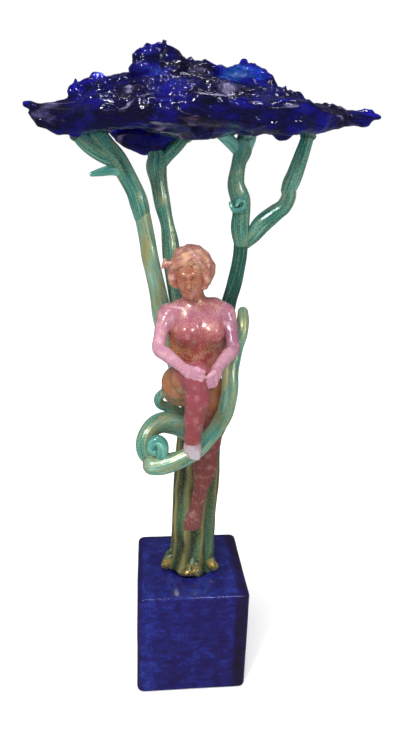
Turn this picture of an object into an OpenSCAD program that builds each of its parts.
// Hot-worked glass tree with a seated figure, on a cobalt block.
// Every piece is a separate gather of glass, cut where it is welded to the piece that carries it.
// The origin is the centre of the block's underside, +Z is up and the figure faces -Y.

/* [Plinth] */
// Side of the cobalt block
plinth_side = 100; // [90:1:110]
// Rounding of the block's four upright edges
plinth_corner = 6; // [4:0.5:8]
// Rounding of the edges of its top and bottom
plinth_edge = 2.5; // [1.5:0.5:4]

/* [Trunk] */
// Radius of the trunk above its foot, side to side
trunk_r = 20.5; // [19.5:0.5:21.5]
// Number of ribs round the trunk
trunk_ribs = 9; // [7:1:11]
// Depth of the grooves between the ribs
rib_depth = 1.6; // [0.5:0.1:2.2]

/* [Boughs] */
// Thickness of the boughs, as a share of the drawn one
bough_scale = 1; // [0.9:0.05:1.1]

/* [Figure] */
// Thickness of the limbs, as a share of the drawn one
limb_scale = 1; // [0.9:0.05:1.05]

/* [Canopy] */
// Half the length of the canopy, side to side
canopy_half_x = 114; // [110:1:118]
// Half the depth of the canopy, front to back
canopy_half_y = 66; // [60:1:70]
// Height of the middle of the canopy's rim
canopy_z = 492.5; // [491:0.5:494]
// Half the thickness of the canopy near its rim
rim_half = 8.5; // [7.5:0.5:9.5]
// Height of the mound over the canopy's rim
mound_h = 18; // [16:1:20]
// Rise of the canopy from its left to its right, for each millimetre
canopy_tilt = 0.04; // [0.03:0.01:0.05]

/* [Detail] */
// Sides of a swept rod
rod_sides = 12; // [8:1:14]
// Rings between two points of a rod's path
rod_steps = 3; // [2:1:4]

/* [Hidden] */

// Colours of the glasses
cobalt = "mediumblue";
teal = "mediumseagreen";
aqua = "mediumturquoise";
gold_green = "darkkhaki";
rose = "indianred";
rose_gold = "rosybrown";
pink = "plum";
milk = "lavender";
clear = "whitesmoke";

// Height of the block's top face
top_z = plinth_side;
// Thickness of the adhesive under the trunk
bond_t = 0.4;
// Rings in a rounded rod end
cap_rings = 2;

// ---- Paths. Each point is [x, y, z, half width, half depth]. ----

trunk_path = [[0, 0, top_z + bond_t, 24, 21], [1, 1, 110, 21.5, 18.5], [2, 2, 124, 20.8, 17.5],
    [2.5, 2, 150, 20.5, 17], [3.5, 3, 180, 21, 16.5], [4.5, 5, 210, 20.5, 16], [5, 9, 238, 18.5, 14.5],
    [4, 12, 262, 15, 12.5], [2, 15, 282, 12, 10]];
root_left_path = [[-17, 0, 126, 2.8], [-20, -3, 116, 4.4], [-22, -5, 109, 5.6], [-24, -7, 105.9, 5.5]];
root_front_path = [[1, -15, 122, 2.8], [0, -17, 114, 5, 3.6], [-1, -18, 108, 7.5, 4.4], [-1, -19, 105, 8, 4.4]];
root_right_path = [[18, -4, 126, 2.8], [19, -8, 116, 4.2], [19.5, -11, 109, 5.4], [20, -13, 105.7, 5.3]];
root_back_path = [[10, 17, 124, 3], [13, 20, 114, 5], [14, 22, 108, 6, 5], [15, 24, 105.4, 6, 5]];

bough_left_path = [[-6, 12, 262, 8.5], [-17, 11, 300, 8.5], [-28.5, 11, 335, 8.3], [-33.5, 11, 361, 7.4],
    [-39.5, 12, 386, 7], [-42.5, 13, 402, 6.8], [-47, 13, 423, 6.6]];
bough_left_upper_path = [[-47, 13, 423, 6.8], [-52.5, 12, 440, 7.3], [-59, 9, 452, 7.4],
    [-66, 6, 463, 7.6], [-75, 3, 472, 8.2], [-82, 2, 480, 9], [-85, 2, 487, 8]];
bough_left_spur_path = [[-66, 7, 461, 4.6], [-76, 2, 465, 5.6], [-86, -2, 471, 6], [-93, -4, 477, 5.4],
    [-96, -5, 482, 4.4]];
twig_left_path = [[-60, 8, 455, 4.8], [-70, 3, 455, 4], [-78, -1, 453, 3.1], [-85, -4, 451, 1.8]];

bough_back_path = [[3, 20, 268, 8.5], [-5, 21, 310, 8.3], [-15, 22, 350, 8], [-21, 22, 385, 7.8],
    [-23, 24, 401, 7.2], [-25.5, 25, 414, 5.8], [-29.5, 27, 430, 6.8], [-33, 29, 448, 7],
    [-35, 30, 460, 8.4], [-35, 31, 469, 7.6], [-39, 32, 478, 6.4], [-41, 33, 488, 6]];
bough_back_fork_path = [[-32, 31, 462, 5], [-26, 32, 470, 5.2], [-18, 34, 478, 5], [-9, 35, 488, 4.2]];

bough_right_path = [[8, 14, 268, 8.5], [17, 12, 305, 7.6], [25, 11, 337, 6.8], [28.5, 11, 354, 6.4],
    [32, 12, 367, 6.3], [35.5, 13, 387, 6.2], [36, 13.5, 400, 6]];
bough_right_upper_path = [[36, 12, 403, 6.2], [34.6, 12, 414, 7.8], [34.8, 11, 427, 7.4], [33.4, 10, 437, 7.9],
    [29, 9, 449, 6.8], [30.5, 9, 464, 5.8], [33.5, 10, 474, 7.2], [35, 11, 484, 6.2], [35, 11, 492, 5]];
knot_curl_path = [[29, 1.5, 432, 1.6], [31, 1, 435.5, 1.9], [35, 1, 435, 1.9], [36, 1.2, 431, 1.8],
    [33, 1.5, 428.5, 1.8], [27, 2, 428, 1.8], [24.5, 4, 433, 1.6]];
crown_left_path = [[30, 10, 474, 5], [23, 8, 480, 5.2], [14, 6, 486, 4.6], [7, 5, 489, 4]];
crown_right_path = [[36, 10, 476, 5.2], [38, 8, 484, 5.6], [38, 6, 492, 5]];
fork_lower_path = [[41, 13, 402, 5], [46, 12, 408, 6.4], [52, 10, 417, 7.6], [62, 8, 426, 7],
    [69, 6, 432, 6.4], [72, 4, 440, 6], [71, 3, 446, 5.6]];
fork_upper_path = [[71, 3, 446, 5.6], [74.5, 1, 457, 6.2], [79, 0, 471, 5.6], [82, -1, 483, 5.2], [83, -1, 492, 5]];

branch_seat_path = [[37.5, -6, 346, 4.4], [37, -11, 339, 5.2], [35, -16, 329, 5.4], [30.5, -22, 319, 5.8],
    [25.5, -31, 302, 6.6], [24.5, -37, 287, 7], [21, -42, 271, 6.8], [15, -45, 260, 6.6], [7, -48, 250, 6.6],
    [-3, -50, 240, 6.6], [-18, -50, 232, 7.6], [-30, -48, 228, 8.6], [-38, -47, 227.5, 8.4]];
branch_loop_path = [[2, -2, 233, 8], [-6, -9, 240, 9], [-15, -16, 249, 9.2], [-27, -24, 255, 9],
    [-37, -32, 254, 7.8], [-44, -38, 246, 6.4], [-44.5, -42, 237, 5.6], [-40, -44, 230, 5]];
branch_curl_path = [[-31, -48, 232, 5], [-30.2, -49, 239, 5.2], [-30.4, -50, 246, 5], [-34, -51, 250.2, 4.5],
    [-38, -51.5, 247.5, 3.9], [-38.6, -52, 242.5, 3.3], [-36, -53, 240.2, 2.4]];
branch_hip_path = [[-10, 4, 250, 5], [-22, 0, 259, 4.6], [-30, -5, 264, 4.2], [-32, -8, 271, 4],
    [-27, -8, 277, 3.6]];

torso_path = [[-5, -26, 268, 14, 11], [-5, -25, 276, 23, 16.5], [-5, -24.5, 288, 24, 17], [-3, -24.5, 300, 19.5, 15],
    [-1, -25, 311, 18.5, 14], [-1, -26, 323, 20, 15.5], [-1.5, -26, 332, 21, 16], [-2, -24, 342, 22, 13.5],
    [-3, -22.5, 351, 20, 10], [-5, -22.5, 358, 9.5, 8]];
head_path = [[-5, -23, 355, 8, 8], [-5.5, -24, 361, 8.4, 8], [-7.5, -29, 366, 8, 8.5], [-8.5, -29, 372, 12, 13],
    [-9.5, -28, 380, 13.5, 15], [-10, -27.5, 387, 12.5, 13.5], [-10, -26.5, 393, 8, 9]];
hair_path = [[-7, -20, 368, 11, 8], [-8, -20.5, 374, 17, 12], [-9, -22, 382, 18.8, 15.5],
    [-9.5, -23, 390, 16.5, 15], [-10, -24, 396.5, 10, 10]];
hair_flick_path = [[-20, -37, 387, 4], [-26, -38.5, 387, 3.2], [-31, -39, 386, 1.8]];

arm_right_path = [[-18, -22, 348, 7.6], [-26, -22, 346, 7.4], [-31, -25, 334, 6.2], [-32.6, -32, 324, 5.8],
    [-28, -48, 317, 5.2], [-21.5, -64, 314.5, 4.5], [-14, -80, 313.5, 4.6], [-9, -85, 311.5, 5.2], [-5, -86, 307, 5]];
arm_left_path = [[13, -22, 348, 7.6], [20.5, -22, 346, 7.2], [24.8, -25, 334, 6], [25, -33, 323.5, 5.6],
    [19, -48, 316, 5.2], [11, -64, 312.5, 4.5], [5.5, -78, 311, 4.4], [2.5, -83, 307.5, 4.8], [1.5, -84, 303, 4.6]];
leg_crossed_path = [[-16, -26, 283, 13.5], [-16, -40, 292, 13], [-12, -56, 303, 11.5], [-7.5, -70, 310, 10],
    [-6, -77, 306, 9.4], [-5.6, -77, 293, 9], [-6.4, -73, 278, 7.2], [-7.4, -68, 262, 6], [-7.6, -66, 253, 5.6]];
foot_crossed_path = [[-7.6, -66, 253, 5.6], [-7, -66.5, 248, 6.8], [-5.6, -67, 243.5, 5]];
leg_standing_path = [[12, -22, 286, 12], [13, -27, 272, 11], [13, -28, 258, 10.4], [10, -27, 240, 8.8],
    [7.5, -26, 218, 9.4], [5.6, -25.5, 198, 8], [2.6, -25.5, 182, 6.2], [0.5, -26.5, 172, 5.6]];
foot_standing_path = [[0.5, -26.5, 172, 5.6], [-0.6, -28, 165, 7], [-2, -29.5, 160.5, 6.6, 4.8]];

// Canopy pieces: half width lies front to back, half depth is the thickness of the fold.
wing_left_path = [[-92, -8, 488, 40, 12], [-106, -9, 488, 30, 9.5], [-119, -11, 492, 17, 6], [-130, -12, 497, 5, 2.4]];
tail_right_path = [[96, -2, 498, 30, 9], [110, -2, 499, 19, 8.5], [124, -1, 501, 12, 8], [134, 0, 502, 8, 6.5]];
crest_left_path = [[-56, -6, 518, 12, 7], [-49, -5, 528, 16, 9], [-38, -4, 534, 18, 9.5],
    [-28, -3, 536.5, 15, 8], [-18, -3, 530, 15, 8], [-7, -3, 523, 12, 7]];
crest_right_path = [[20, -6, 516, 11, 6], [28, -5, 526, 13, 7], [38, -4, 526, 14, 7], [48, -4, 519, 13, 6],
    [56, -4, 511, 10, 5]];
crest_middle_path = [[-12, 4, 519, 12, 7], [-2, 3, 526, 15, 8], [9, 4, 526, 15, 8], [20, 5, 519, 12, 7]];
crest_back_path = [[-52, 34, 508, 10, 6], [-32, 37, 517, 15, 8], [-6, 39, 520, 16, 8.5], [20, 38, 516, 15, 8],
    [46, 34, 506, 10, 6]];
fold_left_path = [[-100, -8, 503, 10, 6], [-93, -8, 509, 15, 7.5], [-82, -8, 512, 16, 8.5],
    [-70, -8, 512, 14, 8], [-60, -8, 510, 10, 6]];
fold_right_path = [[46, -34, 504, 10, 5], [58, -35, 509, 13, 6], [72, -32, 509, 13, 6], [86, -27, 503, 10, 5]];
fold_front_path = [[-46, -40, 497, 11, 6], [-24, -44, 502, 13, 7], [6, -44, 503, 13, 7], [36, -40, 499, 11, 6]];
lobe_under_path = [[-66, 42, 487, 13, 6], [-58, 46, 479, 16, 8], [-46, 47, 477, 17, 8], [-34, 46, 484, 13, 6]];
drip_paths = [[[-4, -26, 492, 8], [-4, -26, 487, 7.5], [-4, -26, 484.5, 5.5]],
    [[58, -22, 492, 9], [58, -22, 487, 8.5], [58, -22, 485, 6]],
    [[-40, -36, 492, 9], [-38, -36, 486, 8.5], [-38, -36, 484, 6]]];

// Where the boughs meet the canopy: [x, y, z, radius] of each bead of adhesive
bond_beads = [[-84, 2, 484, 10.6], [-95, -4, 480, 6.4], [-41, 33, 484, 7.6], [-11, 34, 486, 6],
    [8, 5, 487, 5.4], [36, 9, 487, 8.4], [83, -1, 488, 6.8]];

// Lumps that swell the canopy's upper face: [x, y, height, spread]
swells = [[-38, -2, 14, 22], [2, 4, 9, 20], [34, -3, 9, 18], [-82, -6, 5, 18], [70, -6, 3, 18], [-4, 38, 5, 30]];

// ---- Rods: a ring at every step of a smooth path, joined by triangles ----

function blend(a, b, c, d, t) = 0.5 * (2 * b + (c - a) * t + (2 * a - 5 * b + 4 * c - d) * t * t
    + (3 * b - a - 3 * c + d) * t * t * t);
function last(list) = list[len(list) - 1];
function smooth_path(p, steps) = [
    for (i = [0 : len(p) - 2], k = [0 : steps - 1])
        blend(p[max(i - 1, 0)], p[i], p[i + 1], p[min(i + 2, len(p) - 1)], k / steps),
    last(p)];
function place(s) = [s[0], s[1], s[2]];
function half_depth(s) = is_undef(s[4]) ? s[3] : s[4];
function unit(v) = v / norm(v);
function direction(p, i) = unit(place(p[min(i + 1, len(p) - 1)]) - place(p[max(i - 1, 0)]));
function square_to(u, t) = unit(u - (u * t) * t);
// The side vector of each ring, carried along the path so that the rod doesn't twist
function side_vectors(t, start) = [
    for (i = 0, u = square_to(start, t[0]); i < len(t);
        i = i + 1, u = square_to(u, t[min(i, len(t) - 1)])) u];
function ring(centre, u, v, a, b, sides, ribs, depth) = [
    for (k = [0 : sides - 1])
        let (w = 360 * k / sides, groove = depth * (1 - cos(ribs * w)) / 2)
            centre + u * (a - groove) * cos(w) + v * (b - groove) * sin(w)];
// Rings that close an end to a dome: side is -1 at the start and 1 at the end
function dome(s, t, u, v, side, bulge, sides) = [
    for (k = [1 : cap_rings])
        let (w = 90 * k / (cap_rings + 1), r = min(s[3], half_depth(s)) * bulge)
            ring(place(s) + t * side * r * sin(w), u, v, s[3] * cos(w), half_depth(s) * cos(w), sides, 0, 0)];
function reversed(list) = [for (i = [len(list) - 1 : -1 : 0]) list[i]];
function joined(lists) = [for (l = lists, x = l) x];

module rings_solid(rings, start_tip, end_tip) {
    sides = len(rings[0]);
    count = len(rings) * sides;
    strips = [for (r = [0 : len(rings) - 2], k = [0 : sides - 1])
        let (a = r * sides + k, b = r * sides + (k + 1) % sides) each [[a, a + sides, b], [b, a + sides, b + sides]]];
    start_fan = [for (k = [0 : sides - 1]) [count, k, (k + 1) % sides]];
    end_fan = [for (k = [0 : sides - 1]) [count + 1, count - sides + (k + 1) % sides, count - sides + k]];
    polyhedron(points = concat(joined(rings), [start_tip, end_tip]), faces = concat(strips, start_fan, end_fan));
}

// A rod of glass along a path. bulge says how far each end is domed, 0 for a flat end.
module rod(path, start = [1, 0, 0], bulge = [1, 1], sides = rod_sides, steps = rod_steps,
    ribs = 0, depth = 0, thick = 1) {
    sized = [for (s = path) [s[0], s[1], s[2], s[3] * thick, half_depth(s) * thick]];
    p = smooth_path(sized, steps);
    t = [for (i = [0 : len(p) - 1]) direction(p, i)];
    u = side_vectors(t, start);
    body = [for (i = [0 : len(p) - 1])
        ring(place(p[i]), u[i], cross(t[i], u[i]), p[i][3], p[i][4], sides, ribs, depth)];
    e = len(p) - 1;
    before = bulge[0] > 0 ? reversed(dome(p[0], t[0], u[0], cross(t[0], u[0]), -1, bulge[0], sides)) : [];
    after = bulge[1] > 0 ? dome(p[e], t[e], u[e], cross(t[e], u[e]), 1, bulge[1], sides) : [];
    rings_solid(concat(before, body, after),
        place(p[0]) - t[0] * min(p[0][3], p[0][4]) * bulge[0],
        place(p[e]) + t[e] * min(p[e][3], p[e][4]) * bulge[1]);
}

// The first child, cut away where the others are, as glass that is welded on meets what carries it
module welded() {
    resize([0, 0, 0]) difference() {
        children(0);
        children([1 : $children - 1]);
    }
}

// ---- Plinth and trunk ----

module rounded_square(side, r) {
    square([side, side - 2 * r], center = true);
    square([side - 2 * r, side], center = true);
    for (x = [-1, 1], y = [-1, 1])
        translate([x, y] * (side / 2 - r)) circle(r = r, $fn = 48);
}

module plinth() {
    color(cobalt) translate([0, 0, plinth_side / 2]) intersection() {
        for_axis(0);
        for_axis(1);
        for_axis(2);
    }
}

// The block's rounded outline, extruded along X, Y or Z
module for_axis(axis) {
    turns = [[0, 90, 0], [90, 0, 0], [0, 0, 0]];
    rotate(turns[axis]) linear_extrude(height = plinth_side, center = true)
        rounded_square(plinth_side, axis == 2 ? plinth_corner : plinth_edge);
}

module trunk_bond() {
    color(clear) translate([0, -2, top_z]) cylinder(r = trunk_r - 1, h = bond_t, $fn = 48);
}

module trunk_rod() {
    rod(trunk_path, bulge = [0, 0.6], sides = trunk_ribs * 4, ribs = trunk_ribs, depth = rib_depth, steps = 2,
        thick = trunk_r / 20.5);
}

module trunk() { color(gold_green) trunk_rod(); }

module root(path) {
    welded() {
        rod(path, thick = bough_scale);
        trunk_rod();
    }
}

module root_left() { color(gold_green) root(root_left_path); }
module root_front() { color(gold_green) root(root_front_path); }
module root_right() { color(gold_green) root(root_right_path); }
module root_back() { color(gold_green) root(root_back_path); }

// ---- Boughs ----

module bough(path, bulge = [1, 1]) { rod(path, thick = bough_scale, bulge = bulge); }

module bough_left_lower() {
    color(teal) welded() {
        bough(bough_left_path, bulge = [1, 0]);
        trunk_rod();
    }
}

module bough_left_upper() {
    color(teal) welded() {
        bough(bough_left_upper_path, bulge = [0, 0.5]);
        canopy_mound();
    }
}

module bough_left_spur() {
    color(teal) welded() {
        bough(bough_left_spur_path);
        bough(bough_left_upper_path, bulge = [0, 0.5]);
        canopy_mound();
        canopy_wing();
        canopy_fold(fold_left_path);
    }
}

module twig_left() {
    color(aqua) welded() {
        bough(twig_left_path);
        bough(bough_left_upper_path, bulge = [0, 0.5]);
        bough(bough_left_spur_path);
    }
}

module bough_back() {
    color(teal) welded() {
        bough(bough_back_path, bulge = [1, 0.5]);
        trunk_rod();
        bough(bough_left_path, bulge = [1, 0]);
        bough(bough_right_path, bulge = [1, 0]);
        canopy_mound();
        canopy_lobe();
    }
}

module bough_back_fork() {
    color(gold_green) welded() {
        bough(bough_back_fork_path);
        bough(bough_back_path, bulge = [1, 0.5]);
        canopy_mound();
        canopy_lobe();
    }
}

module bough_right_lower() {
    color(teal) welded() {
        bough(bough_right_path, bulge = [1, 0]);
        trunk_rod();
        bough(bough_left_path, bulge = [1, 0]);
        bough(bough_right_upper_path, bulge = [0.8, 0.5]);
    }
}

module bough_right_upper() {
    color(teal) welded() {
        bough(bough_right_upper_path, bulge = [0.8, 0.5]);
        canopy_mound();
    }
}

module knot_curl() {
    color(aqua) welded() {
        rod(knot_curl_path, sides = 8, start = [0, 1, 0]);
        bough(bough_right_upper_path, bulge = [0.8, 0.5]);
    }
}

module crown_fork_left() {
    color(aqua) welded() {
        bough(crown_left_path);
        bough(bough_right_upper_path, bulge = [0.8, 0.5]);
        canopy_mound();
    }
}

module crown_fork_right() {
    color(aqua) welded() {
        bough(crown_right_path);
        bough(bough_right_upper_path, bulge = [0.8, 0.5]);
        bough(crown_left_path);
        canopy_mound();
    }
}

module bough_fork_lower() {
    color(teal) welded() {
        bough(fork_lower_path, bulge = [1, 0]);
        bough(bough_right_path, bulge = [1, 0]);
        bough(bough_right_upper_path, bulge = [0.8, 0.5]);
    }
}

module bough_fork_upper() {
    color(teal) welded() {
        bough(fork_upper_path, bulge = [0, 0.5]);
        canopy_mound();
    }
}

// ---- The branch that she sits on ----

module branch_seat() {
    color(teal) bough(branch_seat_path);
}

module branch_loop() {
    color(teal) welded() {
        bough(branch_loop_path);
        trunk_rod();
        bough(branch_seat_path);
    }
}

module branch_curl() {
    color(aqua) welded() {
        bough(branch_curl_path);
        bough(branch_seat_path);
        bough(branch_loop_path);
    }
}

module branch_hip() {
    color(teal) welded() {
        bough(branch_hip_path);
        trunk_rod();
        bough(branch_loop_path);
        torso_rod();
    }
}

// ---- Figure ----

module limb(path, bulge = [1, 1]) { rod(path, thick = limb_scale, bulge = bulge); }

module torso_rod() { rod(torso_path, sides = 16, bulge = [0.5, 0]); }

module torso() {
    color(rose_gold) welded() {
        torso_rod();
        trunk_rod();
        bough(branch_loop_path);
    }
}

module head() {
    color(rose_gold) welded() {
        rod(head_path, sides = 16, bulge = [0, 0.6]);
        torso_rod();
    }
}

module hair() {
    color(rose_gold) welded() {
        rod(hair_path, sides = 14, bulge = [0.3, 0.6]);
        rod(head_path, sides = 16, bulge = [0, 0.6]);
        // The face stays open: everything in front of the ears and below the fringe
        translate([-11, -44, 372]) rotate([12, 0, 0]) cube([26, 36, 30], center = true);
    }
}

module hair_flick() {
    color(rose_gold) welded() {
        rod(hair_flick_path, sides = 8);
        rod(head_path, sides = 16, bulge = [0, 0.6]);
        hair();
    }
}

module arm_right() {
    color(pink) welded() {
        limb(arm_right_path);
        torso_rod();
        limb(leg_crossed_path, bulge = [1, 0]);
    }
}

module arm_left() {
    color(pink) welded() {
        limb(arm_left_path);
        torso_rod();
        limb(leg_crossed_path, bulge = [1, 0]);
        limb(arm_right_path);
        bough(branch_seat_path);
    }
}

module leg_crossed() {
    color(rose) welded() {
        limb(leg_crossed_path, bulge = [1, 0]);
        torso_rod();
        bough(branch_loop_path);
        trunk_rod();
    }
}

module foot_crossed() {
    color(milk) welded() {
        limb(foot_crossed_path, bulge = [0, 1]);
        bough(branch_seat_path);
    }
}

module leg_standing() {
    color(rose) welded() {
        limb(leg_standing_path, bulge = [1, 0]);
        torso_rod();
        trunk_rod();
        bough(branch_seat_path);
        bough(branch_loop_path);
        limb(leg_crossed_path, bulge = [1, 0]);
    }
}

module foot_standing() {
    color(milk) welded() {
        limb(foot_standing_path, bulge = [0, 1]);
        trunk_rod();
    }
}

// ---- Canopy ----

canopy_sides = 40;
canopy_hoops = 7;
canopy_centre = [2, 6];

// Ragged edge: the share of the plain oval that the rim reaches at an angle
function rim_share(w) = 1 + 0.035 * sin(5 * w + 20) + 0.03 * sin(9 * w + 70) + 0.02 * sin(14 * w);
function rim_point(w, share) = [
    canopy_centre[0] + canopy_half_x * cos(w) * rim_share(w) * share,
    canopy_centre[1] + canopy_half_y * sin(w) * rim_share(w) * share];
// Small lumps in the upper face, and the large swells
function lumps(x, y) = 2 * sin(3.1 * x + 1.7 * y) * cos(2.3 * y - 1.1 * x) + 1.3 * sin(7.3 * x - 4.1 * y);
function sum(list, i = 0) = i < len(list) ? list[i] + sum(list, i + 1) : 0;
function swell(x, y) = sum([for (w = swells) w[2] * exp(-(pow(x - w[0], 2) + pow(y - w[1], 2)) / pow(w[3], 2))]);
// How far the faces have closed to the rim, 1 in the middle and 0 at the rim
function closing(share) = sqrt(max(0, 1 - pow(share, 8)));
function middle_z(x) = canopy_z + canopy_tilt * x;
function upper_z(q, share) = middle_z(q[0]) + closing(share) * (rim_half + mound_h * pow(1 - pow(share, 2), 0.8)
    + lumps(q[0], q[1]) + swell(q[0], q[1]));
function under_z(q, share) = middle_z(q[0]) - closing(share) * (rim_half - 4.5 * (1 - pow(share, 2))
    + 0.8 * sin(4 * q[0]));

module canopy_mound() {
    shares = [for (k = [1 : canopy_hoops]) sin(90 * k / canopy_hoops)];
    inner = [for (s = reversed(shares)) if (s < 1) s];
    under = [for (s = shares) [for (k = [0 : canopy_sides - 1])
        let (q = rim_point(360 * k / canopy_sides, s)) [q[0], q[1], under_z(q, s)]]];
    upper = [for (s = inner) [for (k = [0 : canopy_sides - 1])
        let (q = rim_point(360 * k / canopy_sides, s)) [q[0], q[1], upper_z(q, s)]]];
    rings_solid(concat(under, upper),
        concat(canopy_centre, [under_z(canopy_centre, 0)]),
        concat(canopy_centre, [upper_z(canopy_centre, 0)]));
}

module canopy_slab() { color(cobalt) canopy_mound(); }

// A folded sheet of the canopy: wide front to back and thin across
module canopy_fold(path) { rod(path, start = [0, 1, 0], steps = 2, bulge = [1, 1]); }

module canopy_wing() { rod(wing_left_path, start = [0, 1, 0], bulge = [0.5, 1]); }
module canopy_tail() { rod(tail_right_path, start = [0, 1, 0], bulge = [0.5, 1]); }
module canopy_lobe() { canopy_fold(lobe_under_path); }

module on_mound(path) {
    color(cobalt) welded() {
        canopy_fold(path);
        canopy_mound();
        children();
    }
}

module canopy_wing_left() {
    color(cobalt) welded() {
        canopy_wing();
        canopy_mound();
    }
}

module canopy_tail_right() {
    color(cobalt) welded() {
        canopy_tail();
        canopy_mound();
    }
}

module canopy_crest_left() { on_mound(crest_left_path); }
module canopy_crest_right() { on_mound(crest_right_path); }

module canopy_crest_middle() {
    on_mound(crest_middle_path) {
        canopy_fold(crest_left_path);
        canopy_fold(crest_right_path);
    }
}

module canopy_crest_back() { on_mound(crest_back_path) canopy_fold(crest_middle_path); }

module canopy_fold_left() {
    on_mound(fold_left_path) {
        canopy_wing();
        canopy_fold(crest_left_path);
    }
}

module canopy_fold_right() {
    on_mound(fold_right_path) {
        canopy_tail();
        canopy_fold(crest_right_path);
    }
}

module canopy_fold_front() { on_mound(fold_front_path); }
module canopy_lobe_under() { on_mound(lobe_under_path); }

module canopy_drips() {
    color(cobalt) for (path = drip_paths)
        welded() {
            rod(path, sides = 10);
            canopy_mound();
            canopy_wing();
            bough(bough_left_spur_path);
            bough(bough_left_upper_path, bulge = [0, 0.5]);
        }
}

// Clear beads of adhesive round the tips of the boughs, under the canopy
module canopy_bonds() {
    color(clear) for (b = bond_beads)
        welded() {
            translate([b[0], b[1], b[2]]) sphere(r = b[3], $fn = 12);
            canopy_mound();
            canopy_lobe();
            canopy_wing();
            bough(bough_left_upper_path, bulge = [0, 0.5]);
            bough(bough_left_spur_path);
            bough(bough_back_path, bulge = [1, 0.5]);
            bough(bough_back_fork_path);
            bough(bough_right_upper_path, bulge = [0.8, 0.5]);
            bough(crown_left_path);
            bough(crown_right_path);
            bough(fork_upper_path, bulge = [0, 0.5]);
            for (path = drip_paths) rod(path, sides = 10);
        }
}

plinth();
trunk_bond();
trunk();
root_left();
root_front();
root_right();
root_back();
bough_left_lower();
bough_left_upper();
bough_left_spur();
twig_left();
bough_back();
bough_back_fork();
bough_right_lower();
bough_right_upper();
knot_curl();
crown_fork_left();
crown_fork_right();
bough_fork_lower();
bough_fork_upper();
branch_seat();
branch_loop();
branch_curl();
branch_hip();
torso();
head();
hair();
hair_flick();
arm_right();
arm_left();
leg_crossed();
foot_crossed();
leg_standing();
foot_standing();
canopy_slab();
canopy_wing_left();
canopy_tail_right();
canopy_crest_left();
canopy_crest_right();
canopy_crest_middle();
canopy_crest_back();
canopy_fold_left();
canopy_fold_right();
canopy_fold_front();
canopy_lobe_under();
canopy_drips();
canopy_bonds();
